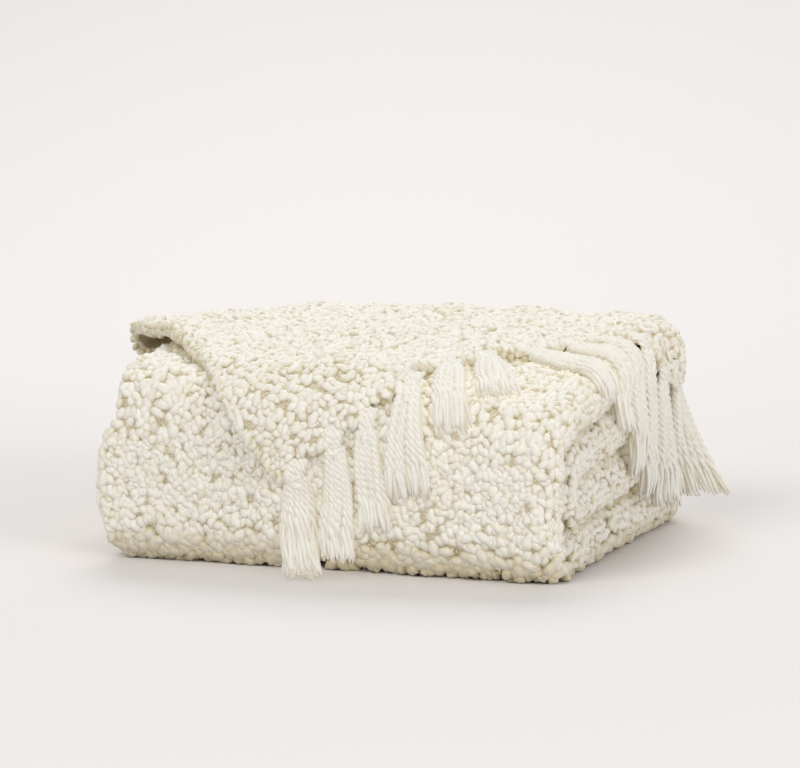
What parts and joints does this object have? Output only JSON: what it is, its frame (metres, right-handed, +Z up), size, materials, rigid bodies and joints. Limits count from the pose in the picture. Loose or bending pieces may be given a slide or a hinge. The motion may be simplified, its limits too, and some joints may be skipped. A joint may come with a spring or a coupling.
{
  "type": "throw blanket",
  "caption": "Folded chunky boucle throw in a soft stack, one corner opened over its top with knotted tassels along the fringe edge; lies on a bed, bench or shelf.",
  "frame": {"origin": "underside of the folded stack, at the middle of its width and depth", "axes": "+X to the right along the front fold, -Y out of the front, +Z up"},
  "size_m": [0.4987, 0.4303, 0.1847],
  "materials": {
    "boucle": "cream nubby boucle, matt",
    "fringe_yarn": "off-white plied wool yarn, matt"
  },
  "bodies": {
    "root": {"throw": "boucle", "tassel_1": "fringe_yarn", "tassel_2": "fringe_yarn", "tassel_3": "fringe_yarn", "tassel_4": "fringe_yarn", "tassel_5": "fringe_yarn", "tassel_6": "fringe_yarn", "tassel_7": "fringe_yarn", "tassel_8": "fringe_yarn", "tassel_9": "fringe_yarn", "tassel_10": "fringe_yarn", "tassel_11": "fringe_yarn", "tassel_12": "fringe_yarn"}
  },
  "joints": []
}
